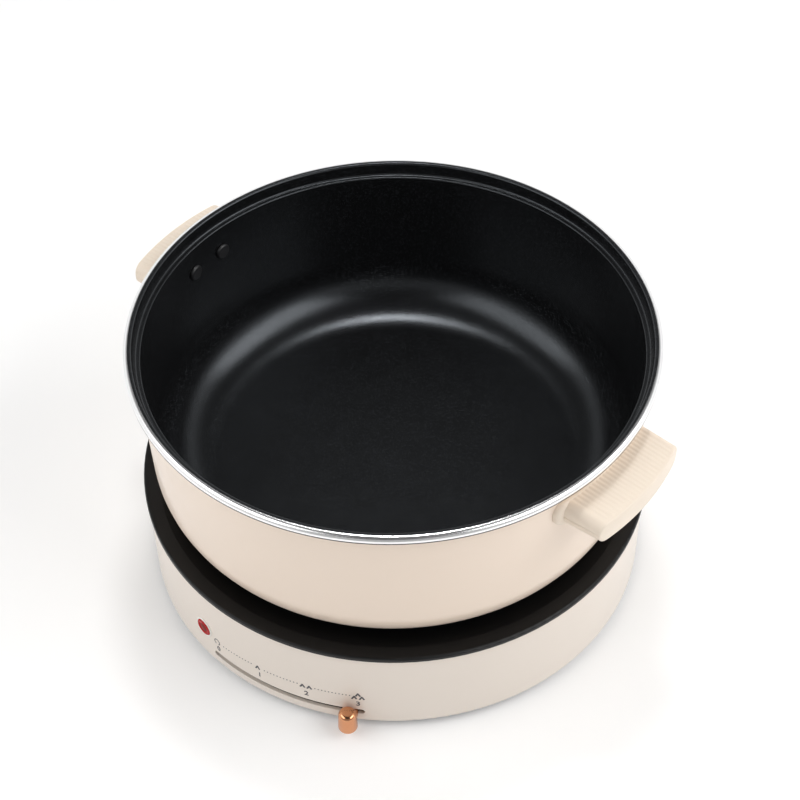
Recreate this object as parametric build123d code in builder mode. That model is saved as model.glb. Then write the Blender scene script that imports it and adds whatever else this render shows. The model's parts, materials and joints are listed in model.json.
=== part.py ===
"""Split electric hot pot: a lift-off non-stick pot standing on a round heating base.

Millimetres. +Z is up, the origin is on the table under the pot's axis, and -Y is the
control side. Angles are measured from +X towards +Y.
"""

import os
from math import asin, cos, degrees, radians, sin, sqrt, tan

from build123d import *

os.makedirs("parts", exist_ok=True)

# ---------------------------------------------------------------- driving dimensions

# Fits between pieces
thread_gap = 0.08          # screw, stud or tag in its hole
seat_gap = 0.3             # plain piece beside another
running_gap = 0.05         # spindle in its bearing

# Feet and bottom cover
foot_height = 5.0          # table to underside of the base
foot_radius = 9.0
foot_inset = 26.7          # face of the base to the middle of a foot
foot_stem = 3.0
foot_barb = 1.2            # barb past the stem, and its height
cover_thickness = 2.5
vent_length = 18.0
vent_width = 3.0
vent_inset = 24.0          # plate posts to the middle of the vents
vent_count = 12

# Base housing
base_radius = 148.7
base_height = 59.2         # underside of the base to the top of its wall
base_wall = 2.0
base_foot_round = 1.5
screw_inset = 10.7         # face of the base to the cover screws and their columns
column_radius = 4.2
rib_thickness = 2.5
tab_rise = 41.0            # underside of the base to the ring tabs
tab_thickness = 3.0
tab_width = 16.0
ring_screw_inset = 21.7
column_angles = (30, 150, 210, 330)

# Lever slot
slot_height = 4.0
slot_rise = 8.5            # underside of the base to the middle of the slot
slot_start = -136.0        # off end of the slot
slot_end = -97.75          # high end of the slot
lever_angle = -101.12      # where the lever stands

# Pilot lamp
lamp_angle = -138.95
lamp_rise = 25.3           # underside of the base to the lamp's centre
lamp_radius = 5.5
lamp_proud = 1.0
lamp_collar = 7.2
lamp_wall = 1.3
lamp_barrel = 10.5         # lens behind the face of the base
holder_depth = 16.0
bulb_radius = 3.0

# Black dish ring round the heating plate
ring_overhang = 1.5
ring_thickness = 2.2
ring_rise = 3.2            # top of the lip above the housing wall
lip_round = 1.2
brow_inset = 7.3           # face of the base to the crease where the lip turns down
brow_drop = 0.9
dish_inset = 28.7
dish_drop = 8.6
ring_inner_drop = 11.6
skirt_height = 6.0
pillar_radius = 4.5

# Heating plate and heater
plate_inset = 48.7         # face of the base to the edge of the plate
plate_clearance = 4.5      # edge of the plate to the ring
plate_thickness = 10.0
plate_below_lip = 2.8      # top of the lip down to the top of the plate
plate_edge = 1.0
plate_boss_height = 4.0
plate_boss_radius = 7.0
thread_depth = 7.0
post_inset = 18.0          # edge of the plate to its posts
post_radius = 5.0
post_angles = (30, 150, 270)
centre_hole_radius = 19.0
heater_inset = 34.0        # edge of the plate to the middle of the heater
heater_radius = 4.0
heater_open_angle = 20.0   # half of the open part of the loop, which faces the back
heater_leg = 7.0
bead_length = 4.0
blade_width = 6.3
blade_metal = 0.8
blade_length = 9.0

# Heat shield
shield_inset = 1.0
shield_metal = 0.8
shield_drop = 16.6         # underside of the plate down to the shield
shield_rim = 8.0
shield_hole = 43.0
terminal_hole = 7.0

# Thermostat, its bridge and the sensing probe
bridge_span = 68.0         # between the two bridge screws
bridge_width = 14.0
bridge_flange = 13.0
bridge_metal = 1.2
bridge_drop = 14.4         # seat of the bridge down to the underside of its web
bridge_boss_height = 3.0
bridge_boss_radius = 6.0
thermostat_length = 44.0
thermostat_width = 26.0
thermostat_height = 11.0
thermostat_hang = 8.0      # bridge web down to the thermostat
thermostat_screws = 32.0   # between its two screws
thermostat_blades = 16.0   # between its two blades
spacer_radius = 3.5
bearing_radius = 6.0
bearing_height = 3.0
spindle_radius = 3.0
spindle_head_radius = 4.6
spindle_head_height = 1.4
probe_radius = 15.0
probe_cup_height = 12.0
probe_wall = 1.2
probe_stem = 3.0
probe_hole = 3.3
probe_under_pot = 0.2      # pot underside down to the pressed probe
probe_rise_left = 1.7      # travel left between the stem clip and the bridge
clip_metal = 0.8
clip_radius = 5.5
clip_groove = 0.8
spring_radius = 8.0
spring_wire = 1.0
spring_turns = 5

# Thermal fuse under the plate
fuse_inset = 8.5           # middle between the plate's hole and the heater, in to the fuse
fuse_radius = 2.2
fuse_length = 16.0
fuse_clip_width = 6.0
fuse_clip_metal = 0.8
fuse_ear = 8.0

# Lever
lever_metal = 1.5
lever_width = 8.0
hub_radius = 9.0
neck_width = 10.0
neck_thickness = 3.2
neck_round = 1.2
neck_inset = 6.7           # face of the base in to the inner end of the neck
knob_bottom_radius = 5.8
knob_top_radius = 5.05
knob_height = 14.85
knob_drop = 7.45           # middle of the slot down to the underside of the knob
knob_out = 6.4             # face of the base out to the axis of the knob

# Power inlet
inlet_rise = 30.0          # underside of the base to the inlet's centre
inlet_width = 34.0
inlet_height = 22.0
inlet_flange = 8.0         # flange past the body on each side
inlet_flange_height = 3.0  # flange past the body above and below
inlet_flange_metal = 2.6
inlet_wall = 3.0
inlet_depth = 26.0
inlet_back = 4.0
inlet_screws = 43.0        # between the two inlet screws
inlet_boss_depth = 11.0
pin_width = 2.0
pin_height = 4.0
pin_spacing = 7.0
earth_offset = 3.5         # middle pin above the others
pin_reach = 20.0           # inside the socket
pin_tail = 10.0

# Pot
pot_height = 106.2         # underside of the pot to the top of its rim
neck_inset_of_rim = 6.5    # edge of the rim in to the wall, just under the flared lip
pot_wall = 3.0
pot_draft = 1.9
pot_corner = 30.0
pot_corner_inside = 34.0   # the casting is thicker there
neck_drop = 10.4           # top of the rim down to the neck
flare_drop = 6.3
ledge_drop = 7.8           # top of the rim down to the lid ledge
ledge_width = 3.1
lip_lean = 0.6
lip_wall = 3.4
rim_radius = 151.0
rim_height = 3.2

# Handles and their fixings
handle_angle = 141.3
handle_drop = 23.5         # top of the rim down to the middle of the grip
grip_width = 76.0          # at the wall of the pot
grip_tip_width = 75.0      # at the outer face
grip_thickness = 13.4      # at the outer face
grip_rise = 2.8            # of its top towards the wall of the pot
grip_round = 5.4
grip_length = 25.9         # wall of the pot to the middle of the outer face
grip_face_radius = 150.0   # curve of the outer face
collar_width = 83.0
collar_foot = 1.5          # underside of the grip down to the foot of the collar
collar_thickness = 3.4
collar_round = 6.5
bracket_width = 58.0
bracket_height = 6.6
bracket_metal = 1.5
tongue_width = 18.0
tongue_reach = 14.0
tongue_metal = 2.0
rivet_spacing = 24.6
rivet_drop = 1.8           # middle of the grip down to the rivets
rivet_shank = 2.2
rivet_head_radius = 5.0
rivet_head_height = 1.7
rivet_head_round = 1.5
rivet_tail_radius = 3.0
rivet_tail_height = 1.2
handle_screws = 10.0       # between the two screws of a handle
handle_screw_out = 9.0     # wall of the pot to those screws
handle_screw_sink = 3.0    # depth of their counterbores

# Fasteners
machine_screw_radius = 2.0
machine_head_radius = 3.8
machine_head_height = 2.4
small_screw_radius = 1.5
small_head_radius = 2.9
small_head_height = 1.8
small_screw_length = 8.0

# Lead wires
wire_radius = 1.2
wire_bend = 6.0
wire_spread = 1.35         # two wires on one blade, each off the middle
wire_slack = 14.0          # straight start of a wire
wire_low = 11.0            # shield down to the wires that cross the floor of the base
wire_high = 5.2            # shield down to the wires that cross above them

# ---------------------------------------------------------------- levels and radii

base_bottom = foot_height
cover_top = base_bottom + cover_thickness
base_top = base_bottom + base_height
wall_inside = base_radius - base_wall
foot_circle = base_radius - foot_inset
screw_circle = base_radius - screw_inset
ring_screw_circle = base_radius - ring_screw_inset
neck_start = base_radius - neck_inset
knob_circle = base_radius + knob_out
slot_level = base_bottom + slot_rise
lamp_level = base_bottom + lamp_rise
inlet_level = base_bottom + inlet_rise
tab_bottom = base_bottom + tab_rise
tab_top = tab_bottom + tab_thickness

lip_top = base_top + ring_rise
lip_radius = base_radius + ring_overhang
brow_radius = base_radius - brow_inset
dish_radius = base_radius - dish_inset
skirt_radius = wall_inside - seat_gap
brow_level = lip_top - brow_drop
dish_level = lip_top - dish_drop

plate_radius = base_radius - plate_inset
ring_inner_radius = plate_radius + plate_clearance
shield_radius = plate_radius - shield_inset
post_circle = plate_radius - post_inset
heater_circle = plate_radius - heater_inset
vent_circle = post_circle - vent_inset
plate_top = lip_top - plate_below_lip
plate_bottom = plate_top - plate_thickness
boss_bottom = plate_bottom - plate_boss_height
shield_top = plate_bottom - shield_drop
shield_bottom = shield_top - shield_metal
leg_bottom = plate_bottom - heater_leg
bead_bottom = leg_bottom - bead_length
blade_bottom = bead_bottom - blade_length
heater_ends = (90 + heater_open_angle, 90 - heater_open_angle)

bridge_seat = plate_bottom - bridge_boss_height
web_bottom = bridge_seat - bridge_drop
web_top = web_bottom + bridge_metal
bridge_leg = bridge_span / 2 + bridge_flange / 2 - bridge_flange
thermostat_top = web_bottom - thermostat_hang
thermostat_bottom = thermostat_top - thermostat_height
thermostat_middle = (thermostat_top + thermostat_bottom) / 2

pot_neck_radius = rim_radius - neck_inset_of_rim
pot_bottom = plate_top
pot_floor = pot_bottom + pot_wall
rim_top = pot_bottom + pot_height
rim_bottom = rim_top - rim_height
neck_level = rim_top - neck_drop
flare_level = rim_top - flare_drop
ledge_level = rim_top - ledge_drop
ledge_inner = pot_neck_radius - pot_wall
ledge_outer = ledge_inner + ledge_width
lip_inner = ledge_outer + lip_lean
lip_outer = lip_inner + lip_wall
handle_level = rim_top - handle_drop
rivet_level = handle_level - rivet_drop

probe_top = pot_bottom - probe_under_pot
probe_ceiling = probe_top - probe_wall
clip_top = web_bottom - probe_rise_left
clip_bottom = clip_top - clip_metal
stem_bottom = clip_bottom - clip_metal

fuse_place = (centre_hole_radius + heater_circle) / 2 - fuse_inset
fuse_level = plate_bottom - fuse_clip_metal - fuse_radius - thread_gap
fuse_clip_inner = fuse_radius + thread_gap
fuse_clip_outer = fuse_clip_inner + fuse_clip_metal
fuse_screw = fuse_place + fuse_clip_outer + fuse_ear / 2

lever_top = slot_level + lever_metal / 2
lever_bottom = slot_level - lever_metal / 2
knob_bottom = slot_level - knob_drop
knob_reach = knob_circle * sin(radians(-lever_angle)) + knob_bottom_radius

inlet_start = knob_reach - inlet_depth - inlet_back
pin_start = inlet_start - pin_tail
pin_end = knob_reach - inlet_depth + pin_reach


def pot_outside(level):
    """Outside radius of the drafted pot wall at a level."""
    return pot_neck_radius - (neck_level - level) * tan(radians(pot_draft))


def facing(angle, radius, level):
    """Plane square to a radius: its normal points outwards and its y points up."""
    out = Vector(cos(radians(angle)), sin(radians(angle)), 0)
    side = Vector(-out.Y, out.X, 0)
    return Plane(origin=out * radius + Vector(0, 0, level), x_dir=side, z_dir=out)


def section(angle):
    """Upright plane through the axis: its x points outwards and its y points up."""
    out = Vector(cos(radians(angle)), sin(radians(angle)), 0)
    return Plane(origin=(0, 0, 0), x_dir=out, z_dir=Vector(out.Y, -out.X, 0))


def spot(angle, radius):
    """Point in plan at an angle and a radius."""
    return (radius * cos(radians(angle)), radius * sin(radians(angle)))


def spots(angles, radius):
    """Points in plan at several angles and one radius."""
    return [spot(angle, radius) for angle in angles]


def nearest(sketch, point):
    """Corner of a sketch that is nearest to a point."""
    return sketch.vertices().sort_by_distance(point)[0]


def finish(piece, name):
    """Name a finished piece and write it out."""
    piece.part.label = name
    export_step(piece.part, f"parts/{name}.step")


# ---------------------------------------------------------------- pot

# Cast aluminium bowl: flat base, wide and thick corner, slightly drafted wall, and a
# flared lip with a flat ledge inside for a lid's edge.
rivet_turn = degrees(asin(rivet_spacing / 2 / pot_outside(rivet_level)))
handle_sides = (("left", handle_angle), ("right", handle_angle + 180))
rivet_angles = [
    side_angle + turn for name, side_angle in handle_sides for turn in (-rivet_turn, rivet_turn)
]
head_foot = pot_outside(rivet_level - rivet_head_radius) - pot_wall
rivet_seat = sqrt(head_foot**2 - rivet_head_radius**2) - thread_gap

with BuildPart() as pot_body:
    with BuildSketch(Plane.XZ) as pot_section:
        with BuildLine():
            Polyline(
                (0, pot_bottom),
                (pot_outside(pot_bottom), pot_bottom),
                (pot_neck_radius, neck_level),
                (lip_outer, flare_level),
                (lip_outer, rim_bottom),
                (rim_radius, rim_bottom),
                (rim_radius, rim_top),
                (lip_inner, rim_top),
                (ledge_outer, ledge_level),
                (ledge_inner, ledge_level),
                (pot_outside(pot_floor) - pot_wall, pot_floor),
                (0, pot_floor),
                close=True,
            )
        make_face()
        fillet(nearest(pot_section, (pot_outside(pot_bottom), pot_bottom)), pot_corner)
        fillet(nearest(pot_section, (pot_outside(pot_floor) - pot_wall, pot_floor)), pot_corner_inside)
        fillet(nearest(pot_section, (rim_radius, rim_top)), rim_height * 0.6)
        fillet(nearest(pot_section, (lip_inner, rim_top)), lip_wall * 0.4)
        fillet(nearest(pot_section, (rim_radius, rim_bottom)), rim_height * 0.3)
    revolve(axis=Axis.Z)
    for rivet_angle in rivet_angles:
        with BuildSketch(facing(rivet_angle, rivet_seat - pot_wall, rivet_level)):
            Circle(rivet_shank + thread_gap)
        extrude(amount=4 * pot_wall, mode=Mode.SUBTRACT)
finish(pot_body, "pot_body")

# Moulded grips: a collar hugs the wall and a flat bar stands out of it. A pocket takes
# the steel bracket that is riveted to the pot.
wall_here = pot_outside(handle_level)
grip_reach = wall_here + grip_length
root_level = handle_level + grip_rise / 2
pocket_reach = pot_outside(rivet_level) + bracket_metal + rivet_tail_height + 2 * seat_gap
tongue_top = rivet_level + bracket_height / 2
tongue_middle = tongue_top - tongue_metal / 2
handle_screw_circle = wall_here + handle_screw_out
grip_bottom = handle_level - grip_thickness / 2
collar_bottom = grip_bottom - collar_foot
collar_top = root_level + (grip_thickness + grip_rise) / 2
draft_run = 2 * grip_length
draft_low = handle_level - draft_run / 2

for side, side_angle in handle_sides:
    with BuildPart() as collar:
        with BuildSketch(facing(side_angle, wall_here / 2, (collar_bottom + collar_top) / 2)):
            RectangleRounded(collar_width, collar_top - collar_bottom, collar_round)
        extrude(amount=wall_here)
        with BuildSketch(Plane.XY.offset(draft_low)):
            Circle(wall_here + collar_thickness)
        extrude(amount=draft_run, mode=Mode.INTERSECT)
    with BuildPart() as pocket:
        with BuildSketch(facing(side_angle, wall_here / 2, rivet_level)):
            Rectangle(bracket_width + 2 * seat_gap, bracket_height + 2 * seat_gap)
        extrude(amount=wall_here)
        with BuildSketch(Plane.XY.offset(draft_low)):
            Circle(pocket_reach)
        extrude(amount=draft_run, mode=Mode.INTERSECT)
        with BuildSketch(facing(side_angle, wall_here / 2, tongue_middle)):
            Rectangle(tongue_width + 2 * seat_gap, tongue_metal + 2 * seat_gap)
        extrude(amount=wall_here / 2 + tongue_reach + seat_gap)
    with BuildPart() as handle:
        with BuildSketch(facing(side_angle, wall_here, root_level)):
            RectangleRounded(grip_width, grip_thickness + grip_rise, grip_round)
        with BuildSketch(facing(side_angle, grip_reach + grip_round, handle_level)):
            RectangleRounded(grip_tip_width, grip_thickness, grip_round)
        loft()
        with BuildSketch(facing(side_angle, wall_here, root_level)):
            RectangleRounded(grip_width, grip_thickness + grip_rise, grip_round)
        extrude(amount=-3 * pot_wall)
        with BuildSketch(Plane.XY.offset(draft_low)):
            with Locations(spot(side_angle, grip_reach - grip_face_radius)):
                Circle(grip_face_radius)
        extrude(amount=draft_run, mode=Mode.INTERSECT)
        add(collar.part)
        with BuildSketch(Plane.XZ):
            with BuildLine():
                Polyline(
                    (0, draft_low),
                    (pot_outside(draft_low) + thread_gap, draft_low),
                    (pot_neck_radius + thread_gap, neck_level),
                    (lip_outer + thread_gap, flare_level),
                    (lip_outer + thread_gap, rim_bottom),
                    (0, rim_bottom),
                    close=True,
                )
            make_face()
        revolve(axis=Axis.Z, mode=Mode.SUBTRACT)
        add(pocket.part, mode=Mode.SUBTRACT)
        for turn in (-1, 1):
            screw_plane = facing(side_angle, handle_screw_circle, grip_bottom)
            screw_point = screw_plane.from_local_coords((turn * handle_screws / 2, 0, 0))
            with Locations(Vector(screw_point.X, screw_point.Y, grip_bottom)):
                Cylinder(
                    small_head_radius + seat_gap,
                    handle_screw_sink,
                    align=(Align.CENTER, Align.CENTER, Align.MIN),
                    mode=Mode.SUBTRACT,
                )
                Cylinder(
                    small_screw_radius + thread_gap,
                    tongue_middle - grip_bottom,
                    align=(Align.CENTER, Align.CENTER, Align.MIN),
                    mode=Mode.SUBTRACT,
                )
    finish(handle, f"handle_{side}")

# Steel angle brackets between the pot and the grips.
handle_screw_points = []
for side, side_angle in handle_sides:
    for turn in (-1, 1):
        screw_plane = facing(side_angle, handle_screw_circle, 0)
        screw_point = screw_plane.from_local_coords((turn * handle_screws / 2, 0, 0))
        handle_screw_points.append((screw_point.X, screw_point.Y))

with BuildPart() as handle_brackets:
    for side, side_angle in handle_sides:
        with BuildPart() as strap:
            with BuildSketch(facing(side_angle, wall_here / 2, rivet_level)):
                Rectangle(bracket_width, bracket_height)
            extrude(amount=wall_here)
            with BuildSketch(Plane.XY.offset(draft_low)):
                Circle(pot_outside(tongue_top) + bracket_metal)
                Circle(pot_outside(tongue_top), mode=Mode.SUBTRACT)
            extrude(amount=draft_run, mode=Mode.INTERSECT)
        with BuildPart() as tongue:
            with BuildSketch(facing(side_angle, wall_here / 2, tongue_middle)):
                Rectangle(tongue_width, tongue_metal)
            extrude(amount=wall_here / 2 + tongue_reach)
            with BuildSketch(Plane.XY.offset(draft_low)):
                Circle(pot_outside(tongue_top))
            extrude(amount=draft_run, mode=Mode.SUBTRACT)
        add(strap.part)
        add(tongue.part)
    for rivet_angle in rivet_angles:
        with BuildSketch(facing(rivet_angle, rivet_seat - pot_wall, rivet_level)):
            Circle(rivet_shank + thread_gap)
        extrude(amount=4 * pot_wall, mode=Mode.SUBTRACT)
    with BuildSketch(Plane.XY.offset(draft_low)):
        with Locations(*handle_screw_points):
            Circle(small_screw_radius + thread_gap)
    extrude(amount=draft_run, mode=Mode.SUBTRACT)
finish(handle_brackets, "handle_brackets")

# Two rivets a side, with low domed heads inside the pot.
tail_seat = pot_outside(tongue_top) + bracket_metal
with BuildPart() as handle_rivets:
    for rivet_angle in rivet_angles:
        with BuildSketch(facing(rivet_angle, rivet_seat, rivet_level)):
            Circle(rivet_shank)
        extrude(amount=tail_seat - rivet_seat)
        with BuildSketch(facing(rivet_angle, tail_seat, rivet_level)):
            Circle(rivet_tail_radius)
        extrude(amount=rivet_tail_height)
        with BuildPart(mode=Mode.PRIVATE) as rivet_head:
            with BuildSketch(facing(rivet_angle, rivet_seat, rivet_level)):
                Circle(rivet_head_radius)
            extrude(amount=-rivet_head_height)
            head_face = rivet_head.faces().sort_by_distance((0, 0, rivet_level))[0]
            fillet(head_face.edges(), rivet_head_round)
        add(rivet_head.part)
finish(handle_rivets, "handle_rivets")

# Screws that hold each grip on its bracket, from below.
with BuildPart() as handle_screw_set:
    with BuildSketch(Plane.XY.offset(grip_bottom + handle_screw_sink)):
        with Locations(*handle_screw_points):
            Circle(small_head_radius)
    extrude(amount=-small_head_height)
    with BuildSketch(Plane.XY.offset(grip_bottom + handle_screw_sink)):
        with Locations(*handle_screw_points):
            Circle(small_screw_radius)
    extrude(amount=tongue_top - grip_bottom - handle_screw_sink)
finish(handle_screw_set, "handle_screws")

# ---------------------------------------------------------------- base housing and ring

# Round sheet-metal housing with the lever slot, the lamp hole and the inlet opening.
inlet_boss_radius = small_head_radius + thread_gap + 1
with BuildPart() as inlet_bosses:
    with BuildSketch(facing(90, wall_inside - inlet_boss_depth, inlet_level)):
        with GridLocations(inlet_screws, 1, 2, 1):
            Circle(inlet_boss_radius)
    extrude(amount=inlet_boss_depth + base_wall)
    with BuildSketch(Plane.XY.offset(base_bottom)):
        Circle(wall_inside + base_wall / 2)
    extrude(amount=base_height, mode=Mode.INTERSECT)

slot_hole = slot_height / 2
slot_turn = degrees(slot_hole / base_radius)
with BuildPart() as base_housing:
    with BuildSketch(Plane.XZ) as wall_section:
        with BuildLine():
            Polyline(
                (wall_inside, base_bottom),
                (base_radius, base_bottom),
                (base_radius, base_top),
                (wall_inside, base_top),
                close=True,
            )
        make_face()
        fillet(nearest(wall_section, (base_radius, base_bottom)), base_foot_round)
    revolve(axis=Axis.Z)
    with BuildSketch(Plane.XY.offset(cover_top)):
        for angle in column_angles:
            with Locations(spot(angle, screw_circle)):
                Circle(column_radius)
            with Locations(spot(angle, (screw_circle + wall_inside + base_wall / 2) / 2)):
                Rectangle(wall_inside + base_wall / 2 - screw_circle, rib_thickness, rotation=angle)
    extrude(amount=tab_bottom - cover_top)
    tab_start = ring_screw_circle - tab_width / 2
    with BuildSketch(Plane.XY.offset(tab_bottom)):
        for angle in column_angles:
            with Locations(spot(angle, (tab_start + wall_inside + base_wall / 2) / 2)):
                Rectangle(wall_inside + base_wall / 2 - tab_start, tab_width, rotation=angle)
    extrude(amount=tab_thickness)
    add(inlet_bosses.part)
    with BuildSketch(Plane.XY.offset(cover_top)):
        with Locations(*spots(column_angles, screw_circle)):
            Circle(small_screw_radius + thread_gap)
    extrude(amount=small_screw_length + seat_gap, mode=Mode.SUBTRACT)
    with BuildSketch(Plane.XY.offset(tab_bottom)):
        with Locations(*spots(column_angles, ring_screw_circle)):
            Circle(small_screw_radius + thread_gap)
    extrude(amount=tab_thickness, mode=Mode.SUBTRACT)
    with BuildSketch(Plane.XY.offset(slot_level - slot_hole)):
        with BuildLine():
            slot_arc = CenterArc(
                (0, 0),
                base_radius + base_wall,
                slot_start + slot_turn,
                slot_end - slot_start - 2 * slot_turn,
            )
            Polyline(slot_arc @ 1, (0, 0), slot_arc @ 0)
        make_face()
    extrude(amount=slot_height, mode=Mode.SUBTRACT)
    for angle in (slot_start + slot_turn, slot_end - slot_turn):
        with BuildSketch(facing(angle, wall_inside - base_wall, slot_level)):
            Circle(slot_hole)
        extrude(amount=3 * base_wall, mode=Mode.SUBTRACT)
    with BuildSketch(facing(lamp_angle, wall_inside - base_wall, lamp_level)):
        Circle(lamp_radius + seat_gap)
    extrude(amount=3 * base_wall, mode=Mode.SUBTRACT)
    with BuildSketch(facing(90, wall_inside - 2 * base_wall, inlet_level)):
        Rectangle(inlet_width + 2 * seat_gap, inlet_height + 2 * seat_gap)
        with GridLocations(inlet_screws, 1, 2, 1):
            Circle(small_screw_radius + thread_gap)
    extrude(amount=4 * base_wall, mode=Mode.SUBTRACT)
finish(base_housing, "base_housing")

# Heat-proof moulded ring: rolled lip over the housing wall and a dish down to the plate.
with BuildPart() as top_ring:
    with BuildSketch(Plane.XY.offset(tab_top)):
        with Locations(*spots(column_angles, ring_screw_circle)):
            Circle(pillar_radius)
            Circle(small_screw_radius + thread_gap, mode=Mode.SUBTRACT)
    extrude(amount=lip_top - tab_top)
    with BuildSketch(Plane.XZ):
        with BuildLine():
            Polyline(
                (ring_inner_radius, dish_level - ring_thickness / 2),
                (dish_radius, dish_level - ring_thickness / 2),
                (brow_radius, brow_level - ring_thickness / 2),
                (brow_radius, lip_top + ring_rise),
                (ring_inner_radius, lip_top + ring_rise),
                close=True,
            )
        make_face()
    revolve(axis=Axis.Z, mode=Mode.SUBTRACT)
    with BuildSketch(Plane.XZ) as ring_section:
        with BuildLine():
            Polyline(
                (lip_radius, base_top),
                (lip_radius, lip_top),
                (brow_radius, brow_level),
                (dish_radius, dish_level),
                (ring_inner_radius, lip_top - ring_inner_drop),
                (ring_inner_radius, lip_top - ring_inner_drop - ring_thickness),
                (dish_radius, dish_level - ring_thickness),
                (brow_radius, brow_level - ring_thickness),
                (skirt_radius - ring_thickness, brow_level - ring_thickness),
                (skirt_radius - ring_thickness, base_top - skirt_height),
                (skirt_radius, base_top - skirt_height),
                (skirt_radius, base_top),
                close=True,
            )
        make_face()
        fillet(nearest(ring_section, (lip_radius, lip_top)), lip_round)
        fillet(nearest(ring_section, (dish_radius, dish_level)), ring_thickness * 4)
    revolve(axis=Axis.Z)
finish(top_ring, "top_ring")

# Self-tapping screws that pull the ring down on the housing, from inside.
with BuildPart() as ring_screws:
    with BuildSketch(Plane.XY.offset(tab_bottom)):
        with Locations(*spots(column_angles, ring_screw_circle)):
            Circle(small_head_radius)
    extrude(amount=-small_head_height)
    with BuildSketch(Plane.XY.offset(tab_bottom)):
        with Locations(*spots(column_angles, ring_screw_circle)):
            Circle(small_screw_radius)
    extrude(amount=small_screw_length)
finish(ring_screws, "ring_screws")

# ---------------------------------------------------------------- bottom cover and feet

foot_angles = (45, 135, 225, 315)
with BuildPart() as bottom_cover:
    with BuildSketch(Plane.XY.offset(base_bottom)):
        Circle(skirt_radius)
        with Locations(*spots(column_angles, screw_circle)):
            Circle(small_screw_radius + thread_gap, mode=Mode.SUBTRACT)
        with Locations(*spots(post_angles, post_circle)):
            Circle(machine_screw_radius + thread_gap, mode=Mode.SUBTRACT)
        with Locations(*spots(foot_angles, foot_circle)):
            Circle(foot_stem + thread_gap, mode=Mode.SUBTRACT)
        with PolarLocations(vent_circle, vent_count):
            SlotOverall(vent_length, vent_width, mode=Mode.SUBTRACT)
    extrude(amount=cover_thickness)
finish(bottom_cover, "bottom_cover")

with BuildPart() as cover_screws:
    with BuildSketch(Plane.XY.offset(base_bottom)):
        with Locations(*spots(column_angles, screw_circle)):
            Circle(small_head_radius)
    extrude(amount=-small_head_height)
    with BuildSketch(Plane.XY.offset(base_bottom)):
        with Locations(*spots(column_angles, screw_circle)):
            Circle(small_screw_radius)
    extrude(amount=small_screw_length)
finish(cover_screws, "cover_screws")

# Rubber feet with a barbed stem pushed through the cover.
with BuildPart() as feet:
    with BuildSketch():
        with Locations(*spots(foot_angles, foot_circle)):
            Circle(foot_radius)
    extrude(amount=foot_height)
    chamfer(feet.edges().group_by(Axis.Z)[0], foot_barb)
    with BuildSketch(Plane.XY.offset(base_bottom)):
        with Locations(*spots(foot_angles, foot_circle)):
            Circle(foot_stem)
    extrude(amount=cover_thickness)
    with BuildSketch(Plane.XY.offset(cover_top)):
        with Locations(*spots(foot_angles, foot_circle)):
            Circle(foot_stem + foot_barb)
    extrude(amount=foot_barb)
finish(feet, "feet")

# ---------------------------------------------------------------- heating plate

# Cast aluminium plate with a hole for the probe and bosses underneath.
bridge_points = ((-bridge_span / 2, 0), (bridge_span / 2, 0))
with BuildPart() as heating_plate:
    with BuildSketch(Plane.XY.offset(plate_bottom)):
        Circle(plate_radius)
        Circle(centre_hole_radius, mode=Mode.SUBTRACT)
    extrude(amount=plate_thickness)
    chamfer(heating_plate.edges().group_by(Axis.Z)[-1], plate_edge)
    with BuildSketch(Plane.XY.offset(plate_bottom)):
        with Locations(*spots(post_angles, post_circle)):
            Circle(plate_boss_radius)
    extrude(amount=-plate_boss_height)
    with BuildSketch(Plane.XY.offset(plate_bottom)):
        with Locations(*bridge_points):
            Circle(bridge_boss_radius)
    extrude(amount=-bridge_boss_height)
    with BuildSketch(Plane.XY.offset(boss_bottom)):
        with Locations(*spots(post_angles, post_circle)):
            Circle(machine_screw_radius + thread_gap)
    extrude(amount=plate_boss_height + thread_depth, mode=Mode.SUBTRACT)
    with BuildSketch(Plane.XY.offset(bridge_seat)):
        with Locations(*bridge_points, (0, fuse_screw)):
            Circle(small_screw_radius + thread_gap)
    extrude(amount=bridge_boss_height + thread_depth, mode=Mode.SUBTRACT)
    with BuildSketch(Plane.XZ):
        with Locations((heater_circle, plate_bottom)):
            Circle(heater_radius + thread_gap)
    revolve(axis=Axis.Z, mode=Mode.SUBTRACT)
finish(heating_plate, "heating_plate")

# Tubular heater pressed into the groove, its two ends bent down at the back.
with BuildPart() as heating_element:
    with BuildSketch(section(heater_ends[0])):
        with Locations((heater_circle, plate_bottom)):
            Circle(heater_radius)
    revolve(axis=Axis.Z, revolution_arc=360 - 2 * heater_open_angle)
    for point in spots(heater_ends, heater_circle):
        with Locations((point[0], point[1], plate_bottom)):
            Sphere(heater_radius)
            Cylinder(heater_radius, heater_leg, align=(Align.CENTER, Align.CENTER, Align.MAX))
finish(heating_element, "heating_element")

with BuildPart() as heater_beads:
    with BuildSketch(Plane.XY.offset(leg_bottom)):
        with Locations(*spots(heater_ends, heater_circle)):
            Circle(heater_radius + blade_metal)
    extrude(amount=-bead_length)
finish(heater_beads, "heater_beads")

with BuildPart() as heater_blades:
    with BuildSketch(Plane.XY.offset(bead_bottom)):
        with Locations(*spots(heater_ends, heater_circle)):
            Rectangle(blade_width, blade_metal)
    extrude(amount=-blade_length)
finish(heater_blades, "heater_blades")

# ---------------------------------------------------------------- shield, posts, screws

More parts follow.
